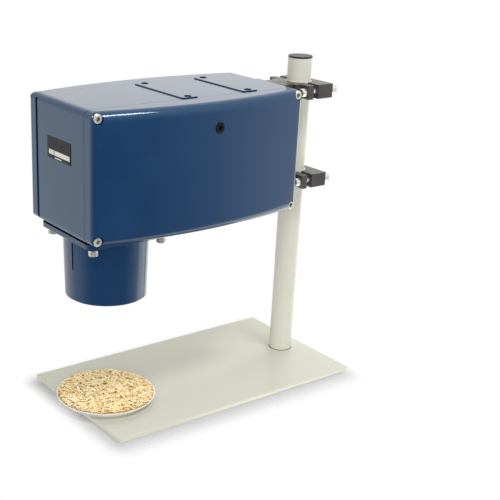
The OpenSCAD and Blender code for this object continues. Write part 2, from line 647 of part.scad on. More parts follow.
detector_x = snout_x + throat_r + 10;
detector_z = floor_z + 46;
module detector_bracket() color([0.58, 0.59, 0.61]) difference() {
    union() {
        slab(detector_x - 4, -14, floor_z, [16, 28, 3]);
        slab(detector_x + 9, -14, floor_z, [3, 28, detector_z - floor_z + 16]);
        slab(detector_x - 3, -14, detector_z + 13, [15, 28, 3]);
    }
    rod_z([detector_x + 2, 0, detector_z], 2, 40);
}
module detector() color([0.65, 0.62, 0.40]) translate([detector_x + 2, 0, detector_z - 4]) difference() {
    union() {
        cylinder(r = 5, h = 17);
        rod_z([0, 0, -4], 6.5, 4);
    }
    translate([0, 0, -4 - cut]) cylinder(r = 4, h = cut + 2);
}

module filter_motor() color([0.20, 0.20, 0.22]) translate([wheel_x, 0, bridge_z + bridge_t]) {
    cylinder(r = motor_r, h = motor_h);
    translate([0, 0, motor_h]) cylinder(r = 5, h = 3);
}
module motor_bracket() color([0.60, 0.61, 0.63]) difference() {
    union() {
        slab(bridge_x0, -bench_half_w, bridge_z, [bridge_l, 2 * bench_half_w, bridge_t]);
        for (y = [-bench_half_w, bench_half_w - leg_t])
            slab(bridge_x0, y, bench_top, [bridge_l, leg_t, bridge_z - bench_top + cut]);
    }
    rod_z([wheel_x, 0, bridge_z - cut], 6, bridge_t + 2 * cut);
}
module index_sensor() color([0.10, 0.10, 0.11]) difference() {
    slab(wheel_x + wheel_r - 7, -5, bench_top, [15, 10, wheel_z + wheel_t + 5 - bench_top]);
    slab(wheel_x + wheel_r - 7 - cut, -5 - cut, wheel_z - 2, [10 + cut, 10 + 2 * cut, wheel_t + 4]);
}

// Filter wheel, its hub and shaft, and its filters
filter_hole_r = filter_r + press_gap;
module filter_wheel() color([0.14, 0.14, 0.15]) translate([wheel_x, 0, wheel_z]) difference() {
    cylinder(r = wheel_r, h = wheel_t, $fn = 128);
    translate([0, 0, -cut]) cylinder(r = shaft_r + 2, h = wheel_t + 2 * cut);
    for (i = [0 : filter_n - 1]) rotate(180 + i * 360 / filter_n) translate([wheel_pitch, 0, -cut])
        cylinder(r = filter_hole_r, h = wheel_t + 2 * cut);
    rotate(180 / filter_n) translate([wheel_r - 2.5, 0, -cut]) cylinder(r = 1.2, h = wheel_t + 2 * cut);
}
module wheel_hub() color([0.72, 0.68, 0.45]) translate([wheel_x, 0, wheel_z]) {
    translate([0, 0, -4]) cylinder(r = 10, h = 4);
    cylinder(r = shaft_r + 2 - press_gap, h = wheel_t);
    translate([0, 0, wheel_t]) cylinder(r = shaft_r, h = bridge_z - wheel_z - wheel_t + bridge_t - 0.3);
}
module optical_filters() color([0.45, 0.35, 0.65, 0.6]) translate([wheel_x, 0, wheel_z + 0.5])
    for (i = [0 : filter_n - 1]) rotate(180 + i * 360 / filter_n) translate([wheel_pitch, 0, 0])
        cylinder(r = filter_r, h = wheel_t - 1);

// Electronics at the right of the head
chassis_x0 = bench_x0 + bench_l + 12;
chassis_x1 = head_x1 - seal_flange - 4;
chassis_z1 = head_z1 - seal_flange;
board_z0 = floor_z + 16;
board_h = head_h - 47;
board_x0 = chassis_x0 + 8;
board_l = chassis_x1 - chassis_x0 - 16;
spacer_h = 5;
board_t = 1.6;
module chassis_plate() color([0.74, 0.75, 0.76]) {
    slab(chassis_x0, -2, floor_z, [chassis_x1 - chassis_x0, 2, chassis_z1 - floor_z]);
    slab(chassis_x0, 0, floor_z, [chassis_x1 - chassis_x0, 22, 2]);
}
module board_spacers() color([0.80, 0.78, 0.60])
    for (x = [board_x0 + 6, board_x0 + board_l - 6], z = [board_z0 + 6, board_z0 + board_h - 6])
        rod_y([x, -2 - spacer_h, z], 3, spacer_h);
module main_board() color([0.10, 0.35, 0.20]) translate([board_x0, -2 - spacer_h - board_t, board_z0]) {
    cube([board_l, board_t, board_h]);
    for (i = [0 : 2]) slab(16 + 46 * i, -3, board_h - 48, [26, 3.01, 26]);
    for (i = [0 : 5]) slab(10 + 24 * i, -6, 12, [12, 6.01, 9]);
    for (i = [0 : 3]) slab(14 + 30 * i, -2, 44, [18, 2.01, 8]);
}
supply_w = board_l - 30;
supply_d = body_w / 2 - body_wall - 17;
supply_h = board_h * 2 / 3;
supply_z0 = floor_z + 22;
vent_r = 4;
vent_pitch_x = supply_w / 7;
vent_pitch_z = supply_h / 4;
module power_supply() color([0.55, 0.57, 0.60]) difference() {
    slab(chassis_x0 + 16, 0, supply_z0, [supply_w, supply_d, supply_h]);
    for (i = [1 : 6], k = [1 : 3])
        rod_y([chassis_x0 + 16 + vent_pitch_x * i, supply_d - vent_r, supply_z0 + vent_pitch_z * k], vent_r, 2 * vent_r);
}

// Sample dish and the shavings in it
dish_wall = 1.2;
dish_foot_r = dish_r - 9;
module sample_dish() color([0.90, 0.89, 0.84]) translate([snout_x, 0, base_t]) rotate_extrude($fn = 128) {
    square([dish_foot_r, dish_wall]);
    polygon([[dish_foot_r - 1, 0], [dish_foot_r + 0.5, 0], [dish_r - 1.4, dish_h - dish_wall],
             [dish_r, dish_h - dish_wall], [dish_r, dish_h], [dish_r - 2, dish_h], [dish_foot_r - 1, dish_wall]]);
}
heap_h = 8;
heap_r = dish_r - 4;
heap_sphere = (heap_r * heap_r + heap_h * heap_h) / (2 * heap_h);
module sample_shavings() color([0.80, 0.68, 0.48]) translate([snout_x, 0, base_t]) intersection() {
    translate([0, 0, dish_wall + 0.3]) cylinder(r1 = dish_foot_r - 1.6, r2 = heap_r + 6.4, h = heap_h + dish_h);
    translate([0, 0, dish_h + heap_h - 1.5 - heap_sphere]) sphere(r = heap_sphere, $fn = 360);
}

base_plate();
pole();
pole_cap();
foot_plug();
foot_screw();
clamp_liners();
housing_body();
front_cover();
rear_cover();
front_gasket();
rear_gasket();
front_cover_screws();
rear_cover_screws();
port_plug();
nameplate();
bracket_plate();
bracket_screws();
arm_screws();
lower_clamp_body();
upper_clamp_body();
lower_clamp_cap();
upper_clamp_cap();
clamp_bolts();
clamp_nuts();
snout();
snout_gasket();
snout_screws();
window_glass();
window_seal();
window_ring();
power_inlet();
signal_connector();
optical_bench();
bench_pillars();
bench_screws();
lamp_holder();
lamp_bulb();
lamp_base();
condenser_lens();
collecting_mirror();
mirror_posts();
detector();
detector_bracket();
filter_motor();
motor_bracket();
index_sensor();
filter_wheel();
wheel_hub();
optical_filters();
chassis_plate();
main_board();
board_spacers();
power_supply();
sample_dish();
sample_shavings();
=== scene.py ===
import json
import math
import random

import bmesh
import bpy
from mathutils import Matrix, Vector

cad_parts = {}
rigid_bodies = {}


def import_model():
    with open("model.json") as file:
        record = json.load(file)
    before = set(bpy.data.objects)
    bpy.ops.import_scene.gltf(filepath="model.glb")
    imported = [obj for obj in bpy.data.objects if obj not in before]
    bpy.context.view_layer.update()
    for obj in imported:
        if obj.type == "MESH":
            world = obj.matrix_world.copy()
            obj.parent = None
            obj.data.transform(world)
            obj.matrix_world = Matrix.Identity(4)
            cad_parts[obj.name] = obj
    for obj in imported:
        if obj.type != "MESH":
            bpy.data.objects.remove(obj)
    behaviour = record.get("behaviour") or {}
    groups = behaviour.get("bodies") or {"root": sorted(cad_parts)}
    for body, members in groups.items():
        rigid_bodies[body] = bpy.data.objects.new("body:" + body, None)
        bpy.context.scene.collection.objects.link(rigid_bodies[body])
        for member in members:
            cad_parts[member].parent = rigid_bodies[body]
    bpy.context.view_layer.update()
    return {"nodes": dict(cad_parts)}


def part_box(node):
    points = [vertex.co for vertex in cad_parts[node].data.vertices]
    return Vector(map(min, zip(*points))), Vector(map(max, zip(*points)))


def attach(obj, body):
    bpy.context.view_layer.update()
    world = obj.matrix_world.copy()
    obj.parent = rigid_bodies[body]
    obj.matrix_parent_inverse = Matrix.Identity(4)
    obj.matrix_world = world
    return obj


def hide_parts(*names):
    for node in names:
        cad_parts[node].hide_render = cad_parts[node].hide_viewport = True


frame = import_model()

scene = bpy.context.scene
print("frame loaded:", len(frame["nodes"]), "CAD nodes")


# Camera: the photograph's viewpoint

photoView = {"place": (-0.9346, -1.2242, 0.7535), "azimuth": -36.01, "elevation": 21.39, "roll": 1.695,
             "lens": 74.99, "sensor": 36.0, "shift": (0.150, 0.0756), "clip": (0.05, 50.0)}


def makeCamera(v):
    data = bpy.data.cameras.new("photoCamera")
    data.lens = v["lens"]
    data.sensor_width = v["sensor"]
    data.sensor_fit = "HORIZONTAL"
    data.shift_x, data.shift_y = v["shift"]
    data.clip_start, data.clip_end = v["clip"]
    camera = bpy.data.objects.new("photoCamera", data)
    scene.collection.objects.link(camera)
    turn = (Matrix.Rotation(math.radians(v["azimuth"]), 4, "Z")
            @ Matrix.Rotation(math.radians(90 - v["elevation"]), 4, "X")
            @ Matrix.Rotation(math.radians(v["roll"]), 4, "Z"))
    camera.matrix_world = Matrix.Translation(v["place"]) @ turn
    scene.camera = camera


makeCamera(photoView)
scene.view_settings.view_transform = "Standard"
print("camera set")


# Material helpers

def newMaterial(name):
    material = bpy.data.materials.new(name)
    material.use_nodes = True
    nodes = material.node_tree.nodes
    nodes.clear()
    out = nodes.new("ShaderNodeOutputMaterial")
    shader = nodes.new("ShaderNodeBsdfPrincipled")
    material.node_tree.links.new(shader.outputs[0], out.inputs[0])
    return material, material.node_tree, shader


def setSockets(node, values):
    for key, value in values.items():
        node.inputs[key].default_value = value


def noiseAt(tree, coords, scale, detail=2.0):
    noise = tree.nodes.new("ShaderNodeTexNoise")
    setSockets(noise, {"Scale": scale, "Detail": detail})
    tree.links.new(coords, noise.inputs["Vector"])
    return noise.outputs["Fac"]


def remap(tree, value, fromMin, fromMax, toMin, toMax, smooth=False):
    node = tree.nodes.new("ShaderNodeMapRange")
    node.interpolation_type = "SMOOTHSTEP" if smooth else "LINEAR"
    setSockets(node, {"From Min": fromMin, "From Max": fromMax, "To Min": toMin, "To Max": toMax})
    tree.links.new(value, node.inputs["Value"])
    return node.outputs["Result"]


def mathNode(tree, operation, a, b):
    node = tree.nodes.new("ShaderNodeMath")
    node.operation = operation
    for socket, value in zip(node.inputs, (a, b)):
        if isinstance(value, (int, float)):
            socket.default_value = value
        else:
            tree.links.new(value, socket)
    return node.outputs[0]


def vectorNode(tree, operation, a, b=None):
    node = tree.nodes.new("ShaderNodeVectorMath")
    node.operation = operation
    for socket, value in zip(node.inputs, (a, b)):
        if isinstance(value, tuple):
            socket.default_value = value
        elif value is not None:
            tree.links.new(value, socket)
    oneNumber = operation in ("LENGTH", "DOT_PRODUCT", "DISTANCE")
    return node.outputs["Value" if oneNumber else "Vector"]


def mixValue(tree, factor, a, b):
    node = tree.nodes.new("ShaderNodeMix")
    for socket, value in zip(node.inputs[:1] + node.inputs[2:4], (factor, a, b)):
        if isinstance(value, (int, float)):
            socket.default_value = value
        else:
            tree.links.new(value, socket)
    return node.outputs[0]


def mixColour(tree, factor, a, b, blend="MIX"):
    node = tree.nodes.new("ShaderNodeMix")
    node.data_type = "RGBA"
    node.blend_type = blend
    for socket, value in ((node.inputs[0], factor), (node.inputs[6], a), (node.inputs[7], b)):
        if isinstance(value, (int, float)):
            socket.default_value = value
        elif isinstance(value, tuple):
            socket.default_value = (*value, 1.0)
        else:
            tree.links.new(value, socket)
    return node.outputs[2]


def bumpOn(tree, shader, height, distance):
    bump = tree.nodes.new("ShaderNodeBump")
    setSockets(bump, {"Strength": 1.0, "Distance": distance})
    tree.links.new(height, bump.inputs["Height"])
    tree.links.new(bump.outputs[0], shader.inputs["Normal"])


def objectCoords(tree):
    return tree.nodes.new("ShaderNodeTexCoord").outputs["Object"]


# Materials: two tones in wide patches, fine speckle, and where asked painted side light and painted crevice
# shade.
# Each pair of numbers is where an effect begins and where it is full.

patches = {"tone": (0.2, 0.8), "speckle": (0.25, 0.75), "upright": (0.3, 0.8), "hollow": (0.35, 0.95),
           "grain": (0.3, 0.7), "streaks": (0.35, 0.7), "wideDetail": 3.0, "streakDetail": 4.0,
           "hollowSamples": 8}


def variedMaterial(name, look):
    material, tree, shader = newMaterial(name)
    setSockets(shader, look["sockets"])
    coords = objectCoords(tree)
    wide = noiseAt(tree, coords, look["wideScale"], patches["wideDetail"])
    fine = noiseAt(tree, coords, look["fineScale"])
    blend = mixColour(tree, remap(tree, wide, *patches["tone"], 0, 1, smooth=True), *look["colours"])
    tone = remap(tree, fine, *patches["speckle"], 1 - look["speckle"], 1 + look["speckle"])
    if "sides" in look:  # upright faces are painted a little paler than the top: painted light on the sides
        normal = tree.nodes.new("ShaderNodeSeparateXYZ")
        tree.links.new(tree.nodes.new("ShaderNodeTexCoord").outputs["Normal"], normal.inputs[0])
        lying = mathNode(tree, "ABSOLUTE", normal.outputs["Z"], 0)
        paintedSideLight = remap(tree, lying, *patches["upright"], look["sides"], 1)
        tone = mathNode(tree, "MULTIPLY", tone, paintedSideLight)
    if "creviceShade" in look:  # painted shade: seams, sockets and corners are darkened by an occlusion mask
        reach, darkest = look["creviceShade"]
        hollow = tree.nodes.new("ShaderNodeAmbientOcclusion")
        hollow.samples = patches["hollowSamples"]
        hollow.inputs["Distance"].default_value = reach
        paintedShade = remap(tree, hollow.outputs["AO"], *patches["hollow"], darkest, 1)
        tone = mathNode(tree, "MULTIPLY", tone, paintedShade)
    tree.links.new(mixColour(tree, 1.0, blend, tone, "MULTIPLY"), shader.inputs["Base Color"])
    gloss = remap(tree, wide, *patches["tone"], *look["roughness"], smooth=True)
    tree.links.new(gloss, shader.inputs["Roughness"])
    bumpOn(tree, shader, fine, look["bump"])
    return material


# the paint's seams are darkened by occlusion, as painted shade
paintLook = {"colours": ((0.0086, 0.0395, 0.112), (0.0108, 0.0450, 0.127)), "wideScale": 14, "fineScale": 420,
             "creviceShade": (0.005, 0.30), "speckle": 0.10, "roughness": (0.09, 0.14), "bump": 0.00004,
             "sockets": {"Metallic": 0.0, "IOR": 1.5, "Specular Tint": (0.80, 1.0, 0.98, 1.0)}}
# the plate is the pole's cream paint made darker on top, as painted shade, and paler on upright faces, as
# painted light
shadedPlateLook = {"colours": ((0.555, 0.555, 0.475), (0.58, 0.58, 0.497)), "wideScale": 6, "fineScale": 900,
             "sides": 1.28, "speckle": 0.03, "roughness": (0.28, 0.33), "bump": 0.00003,
             "sockets": {"Metallic": 0.0, "Specular IOR Level": 0.35}}
creamLook = {"colours": ((0.65, 0.642, 0.555), (0.69, 0.682, 0.592)), "wideScale": 6, "fineScale": 900,
             "speckle": 0.03, "roughness": (0.30, 0.40), "bump": 0.00003,
             "sockets": {"Metallic": 0.0, "Specular IOR Level": 0.4}}
darkLook = {"colours": ((0.045, 0.042, 0.045), (0.060, 0.056, 0.058)), "wideScale": 30, "fineScale": 1500,
            "speckle": 0.12, "roughness": (0.30, 0.42), "bump": 0.00003,
            "sockets": {"Metallic": 0.0, "IOR": 1.5}}
# the steel's sockets and seams are darkened by occlusion, as painted shade
steelLook = {"colours": ((0.78, 0.77, 0.72), (0.88, 0.87, 0.82)), "wideScale": 90, "fineScale": 2500,
             "creviceShade": (0.003, 0.12), "speckle": 0.06, "roughness": (0.20, 0.34), "bump": 0.00002,
             "sockets": {"Metallic": 0.7}}
bareLook = {"colours": ((0.58, 0.59, 0.60), (0.66, 0.67, 0.68)), "wideScale": 40, "fineScale": 1800,
            "speckle": 0.05, "roughness": (0.32, 0.45), "bump": 0.00002, "sockets": {"Metallic": 1.0}}
rubberLook = {"colours": ((0.012, 0.012, 0.013), (0.02, 0.02, 0.02)), "wideScale": 60, "fineScale": 2200,
              "speckle": 0.15, "roughness": (0.65, 0.85), "bump": 0.00005, "sockets": {"Metallic": 0.0}}
plasticLook = {"colours": ((0.014, 0.014, 0.016), (0.022, 0.022, 0.024)), "wideScale": 50, "fineScale": 1600,
               "speckle": 0.10, "roughness": (0.38, 0.52), "bump": 0.00003, "sockets": {"Metallic": 0.0}}
dishLook = {"colours": ((0.78, 0.77, 0.70), (0.84, 0.83, 0.77)), "wideScale": 20, "fineScale": 1200,
            "speckle": 0.02, "roughness": (0.25, 0.35), "bump": 0.00002, "sockets": {"Metallic": 0.0}}
brassLook = {"colours": ((0.62, 0.46, 0.22), (0.72, 0.55, 0.28)), "wideScale": 60, "fineScale": 2000,
             "speckle": 0.06, "roughness": (0.25, 0.38), "bump": 0.00002, "sockets": {"Metallic": 1.0}}
nylonLook = {"colours": ((0.60, 0.58, 0.52), (0.68, 0.66, 0.60)), "wideScale": 40, "fineScale": 1200,
             "speckle": 0.04, "roughness": (0.40, 0.52), "bump": 0.00003, "sockets": {"Metallic": 0.0}}
labelLook = {"colours": ((0.010, 0.010, 0.011), (0.018, 0.018, 0.019)), "wideScale": 70, "fineScale": 1800,
             "speckle": 0.15, "roughness": (0.50, 0.62), "bump": 0.00002,
             "sockets": {"Metallic": 0.0, "Specular IOR Level": 0.3}}
plugLook = {"colours": ((0.003, 0.003, 0.004), (0.005, 0.005, 0.006)), "wideScale": 90, "fineScale": 1800,
            "speckle": 0.12, "roughness": (0.22, 0.32), "bump": 0.00002,
            "sockets": {"Metallic": 0.0, "Specular IOR Level": 0.25}}
fieldLook = {"colours": ((0.70, 0.71, 0.66), (0.80, 0.80, 0.76)), "wideScale": 110, "fineScale": 1500,
             "speckle": 0.06, "roughness": (0.34, 0.45), "bump": 0.00001, "sockets": {"Metallic": 0.0}}

bluePaint = variedMaterial("bluePaint", paintLook)
shadedPlateCream = variedMaterial("shadedPlateCream", shadedPlateLook)
creamPaint = variedMaterial("creamPaint", creamLook)
darkAnodised = variedMaterial("darkAnodised", darkLook)
stainlessSteel = variedMaterial("stainlessSteel", steelLook)
bareAluminium = variedMaterial("bareAluminium", bareLook)
blackRubber = variedMaterial("blackRubber", rubberLook)
blackPlastic = variedMaterial("blackPlastic", plasticLook)
dishPlastic = variedMaterial("dishPlastic", dishLook)
brassGold = variedMaterial("brassGold", brassLook)
nylon = variedMaterial("nylon", nylonLook)
labelBlack = variedMaterial("labelBlack", labelLook)
fieldWhite = variedMaterial("fieldWhite", fieldLook)
plugBlack = variedMaterial("plugBlack", plugLook)


def glassMaterial(name, look):
    material, tree, shader = newMaterial(name)
    setSockets(shader, {"Transmission Weight": 1.0, "IOR": 1.5, "Base Color": (*look["colour"], 1.0)})
    streaks = noiseAt(tree, objectCoords(tree), look["streakScale"], patches["streakDetail"])
    gloss = remap(tree, streaks, *patches["streaks"], *look["roughness"])
    tree.links.new(gloss, shader.inputs["Roughness"])
    return material


clearLook = {"colour": (0.93, 0.97, 0.98), "streakScale": 60, "roughness": (0.01, 0.03)}
filterLook = {"colour": (0.35, 0.22, 0.55), "streakScale": 60, "roughness": (0.02, 0.06)}
clearGlass = glassMaterial("clearGlass", clearLook)
filterGlass = glassMaterial("filterGlass", filterLook)


def woodMaterial(name, look):
    material, tree, shader = newMaterial(name)
    setSockets(shader, look["sockets"])
    tone = tree.nodes.new("ShaderNodeAttribute")
    tone.attribute_name = look["attribute"]
    ramp = tree.nodes.new("ShaderNodeValToRGB")
    while len(ramp.color_ramp.elements) < len(look["ramp"]):
        ramp.color_ramp.elements.new(0.5)
    for element, (place, colour) in zip(ramp.color_ramp.elements, look["ramp"]):
        element.position = place
        element.color = (*colour, 1)
    tree.links.new(tone.outputs["Fac"], ramp.inputs["Fac"])
    grain = noiseAt(tree, objectCoords(tree), look["grainScale"], patches["wideDetail"])
    shade = remap(tree, grain, *patches["grain"], 1 - look["grain"], 1 + look["grain"])
    wood = mixColour(tree, 1.0, ramp.outputs["Color"], shade, "MULTIPLY")
    tree.links.new(wood, shader.inputs["Base Color"])
    bumpOn(tree, shader, grain, look["bump"])
    return material


shavingsLook = {"attribute": "chipTone", "grainScale": 700, "grain": 0.16, "bump": 0.0001,
                "ramp": [(0.0, (0.40, 0.22, 0.07)), (0.06, (0.82, 0.57, 0.24)), (0.30, (0.95, 0.75, 0.38)),
                         (0.70, (0.98, 0.83, 0.50)), (1.0, (0.98, 0.91, 0.66))],
                "sockets": {"Roughness": 0.62, "Specular IOR Level": 0.35}}
woodShavings = woodMaterial("woodShavings", shavingsLook)


# The board's lacquer has tracks and solder dots. What stands higher is a chip, and the highest is a block.

def boardMaterial(name, look):
    material, tree, shader = newMaterial(name)
    coords = objectCoords(tree)
    place = tree.nodes.new("ShaderNodeSeparateXYZ")
    tree.links.new(coords, place.inputs[0])
    dots = tree.nodes.new("ShaderNodeTexVoronoi")
    setSockets(dots, {"Scale": look["dotScale"], "Randomness": look["dotShift"]})
    tree.links.new(coords, dots.inputs["Vector"])
    solder = remap(tree, dots.outputs["Distance"], *look["dot"], 1, 0)
    lines = tree.nodes.new("ShaderNodeTexBrick")
    setSockets(lines, {"Scale": look["lineScale"], "Mortar Size": look["lineWide"],
                       "Mortar Smooth": look["lineSoft"]})
    flat = tree.nodes.new("ShaderNodeCombineXYZ")
    tree.links.new(place.outputs["X"], flat.inputs["X"])
    tree.links.new(place.outputs["Z"], flat.inputs["Y"])
    tree.links.new(flat.outputs[0], lines.inputs["Vector"])
    lacquer = mixColour(tree, lines.outputs["Fac"], look["green"], look["track"])
    bare = mixColour(tree, solder, lacquer, look["solder"])
    height = mathNode(tree, "MULTIPLY", place.outputs["Y"], -1)
    chip = remap(tree, height, *look["chipAt"], 0, 1)
    tall = remap(tree, height, *look["tallAt"], 0, 1)
    parts = mixColour(tree, tall, look["chip"], look["block"])
    tree.links.new(mixColour(tree, chip, bare, parts), shader.inputs["Base Color"])
    flatMetal = mathNode(tree, "MULTIPLY", solder, mathNode(tree, "SUBTRACT", 1, chip))
    tree.links.new(flatMetal, shader.inputs["Metallic"])
    grain = noiseAt(tree, coords, look["grainScale"])
    gloss = remap(tree, grain, *patches["grain"], *look["roughness"])
    tree.links.new(gloss, shader.inputs["Roughness"])
    bumpOn(tree, shader, grain, look["bump"])
    return material


boardLook = {"green": (0.010, 0.085, 0.032), "track": (0.025, 0.15, 0.055), "solder": (0.72, 0.70, 0.64),
             "chip": (0.012, 0.012, 0.013), "block": (0.52, 0.53, 0.50), "dotScale": 330, "dotShift": 0.55,
             "dot": (0.16, 0.20), "lineScale": 75, "lineWide": 0.012, "lineSoft": 0.3,
             "chipAt": (0.00868, 0.00874), "tallAt": (0.0118, 0.0119),
             "grainScale": 1400, "roughness": (0.32, 0.48), "bump": 0.00005}
boardGreen = boardMaterial("boardGreen", boardLook)


# Which finish each CAD node has

nodeFinish = {
    shadedPlateCream: ["base_plate"],
    creamPaint: ["pole"],
    bluePaint: ["housing_body", "front_cover", "rear_cover", "snout"],
    darkAnodised: ["bracket_plate", "lower_clamp_body", "upper_clamp_body", "lower_clamp_cap",
                   "upper_clamp_cap", "window_ring", "lamp_holder", "filter_wheel"],
    stainlessSteel: ["front_cover_screws", "rear_cover_screws", "snout_screws", "bracket_screws",
                     "arm_screws", "clamp_bolts", "clamp_nuts", "foot_screw", "foot_plug",
                     "bench_pillars", "bench_screws", "mirror_posts", "signal_connector"],
    bareAluminium: ["optical_bench", "detector_bracket", "motor_bracket", "chassis_plate"],
    blackRubber: ["front_gasket", "rear_gasket", "snout_gasket", "window_seal"],
    blackPlastic: ["pole_cap", "power_inlet", "index_sensor", "filter_motor"],
    labelBlack: ["nameplate"],
    plugBlack: ["port_plug"],
    nylon: ["clamp_liners", "lamp_base", "power_supply"],
    clearGlass: ["window_glass", "lamp_bulb", "condenser_lens"],
    filterGlass: ["optical_filters"],
    brassGold: ["wheel_hub", "collecting_mirror", "detector", "board_spacers"],
    boardGreen: ["main_board"],
    dishPlastic: ["sample_dish"],
}
for material, names in nodeFinish.items():
    for name in names:
        for slot in frame["nodes"][name].material_slots:
            slot.material = material
print("materials on the CAD nodes")


# Geometry Nodes helpers

def newTree(name, inputs):
    tree = bpy.data.node_groups.new(name, "GeometryNodeTree")
    tree.interface.new_socket("Geometry", in_out="INPUT", socket_type="NodeSocketGeometry")
    tree.interface.new_socket("Geometry", in_out="OUTPUT", socket_type="NodeSocketGeometry")
    for label, kind in inputs.items():
        tree.interface.new_socket(label, in_out="INPUT", socket_type=kind)
    return tree, tree.nodes.new("NodeGroupInput"), tree.nodes.new("NodeGroupOutput")


def addNode(tree, kind, values=None, links=None, **settings):
    node = tree.nodes.new(kind)
    for key, value in settings.items():
        setattr(node, key, value)
    for key, value in (values or {}).items():
        node.inputs[key].default_value = value
    for key, source in (links or {}).items():
        tree.links.new(source, node.inputs[key])
    return node


def treeToMesh(name, tree, values, startMesh):
    carrier = bpy.data.objects.new(name, startMesh)
    scene.collection.objects.link(carrier)
    modifier = carrier.modifiers.new("nodes", "NODES")
    modifier.node_group = tree
    for item in tree.interface.items_tree:
        if item.in_out == "INPUT" and item.name in values:
            modifier[item.identifier] = values[item.name]
    evaluated = carrier.evaluated_get(bpy.context.evaluated_depsgraph_get())
    result = bpy.data.meshes.new_from_object(evaluated)
    result.name = name
    carrier.modifiers.clear()
    carrier.data = result
    bpy.data.meshes.remove(startMesh)
    return carrier


# Shavings in the dish: a low heap covered with small curled strips of wood, the heap dark as painted shade

shavings = {"reach": 0.0735, "stripReach": 0.0736, "outer": 0.0757, "halfLong": 0.00825, "heap": 0.0050,
            "below": 0.0003, "rings": 22, "turns": 72, "bumpy": 0.0006, "heapShadeTone": 0.02,
            "density": 95000.0, "seed": 7, "strips": 12, "stripSeed": 11, "steps": 5,
            "length": (0.009, 0.0165), "width": (0.0016, 0.0048), "thick": 0.0005, "curl": 14.0, "twist": 0.9,
            "narrower": 0.6, "taper": 2.2, "settle": 0.08, "tilt": 0.22, "lift": 0.0028, "scale": (0.5, 1.05)}
dishLow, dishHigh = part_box("sample_dish")
dishMiddle = Vector(((dishLow[0] + dishHigh[0]) / 2, (dishLow[1] + dishHigh[1]) / 2))


def heapHeight(s, r):
    fall = (r / s["reach"]) ** 2
    return dishHigh[2] - s["below"] + s["heap"] * (1 - fall)


def heapMesh(s):
    shape = bmesh.new()
    roll = random.Random(s["seed"])
    top = shape.verts.new((dishMiddle.x, dishMiddle.y, heapHeight(s, 0)))
    rows = []
    for ring in range(1, s["rings"] + 1):
        r = s["reach"] * ring / s["rings"]
        row = []
        for turn in range(s["turns"]):
            a = 2 * math.pi * turn / s["turns"]
            height = heapHeight(s, r) + roll.uniform(-s["bumpy"], s["bumpy"])
            x = dishMiddle.x + r * math.cos(a)
            y = dishMiddle.y + r * math.sin(a)
            row.append(shape.verts.new((x, y, height)))
        rows.append(row)
    for i in range(s["turns"]):
        j = (i + 1) % s["turns"]
        shape.faces.new((top, rows[0][i], rows[0][j]))
        for inner, outer in zip(rows, rows[1:]):
            shape.faces.new((inner[i], outer[i], outer[j], inner[j]))
    mesh = bpy.data.meshes.new("heap")
    shape.to_mesh(mesh)
    shape.free()
    return mesh


def closeBar(shape, rows):  # four-cornered rows joined into a closed bar
    for a, b in zip(rows, rows[1:]):
        for k in range(4):
            shape.faces.new((a[k], b[k], b[(k + 1) % 4], a[(k + 1) % 4]))
    shape.faces.new(rows[0])
    shape.faces.new(rows[-1][::-1])
    bmesh.ops.recalc_face_normals(shape, faces=shape.faces)


def stripObject(s, index, roll):
    length = roll.uniform(*s["length"])
    width = roll.uniform(*s["width"])
    curl = roll.uniform(-s["curl"], s["curl"])
    twist = roll.uniform(-s["twist"], s["twist"])
    shape = bmesh.new()
    rows = []
    for step in range(s["steps"] + 1):
        t = step / s["steps"] - 0.5
        taper = 1 - s["narrower"] * abs(2 * t) ** s["taper"]
        bend = curl * length * length * (t * t - s["settle"])
        turn = twist * t
        row = []
        for side, up in ((-1, -1), (1, -1), (1, 1), (-1, 1)):
            y = side * width / 2 * taper
            z = up * s["thick"] / 2
            row.append(shape.verts.new((t * length, y * math.cos(turn) - z * math.sin(turn),
                                        bend + y * math.sin(turn) + z * math.cos(turn))))
        rows.append(row)
    closeBar(shape, rows)
    mesh = bpy.data.meshes.new("strip%d" % index)
    shape.to_mesh(mesh)
    shape.free()
    return bpy.data.objects.new("strip%d" % index, mesh)


def stripCollection(s):
    roll = random.Random(s["stripSeed"])
    box = bpy.data.collections.new("strips")
    for index in range(s["strips"]):
        box.objects.link(stripObject(s, index, roll))
    return box


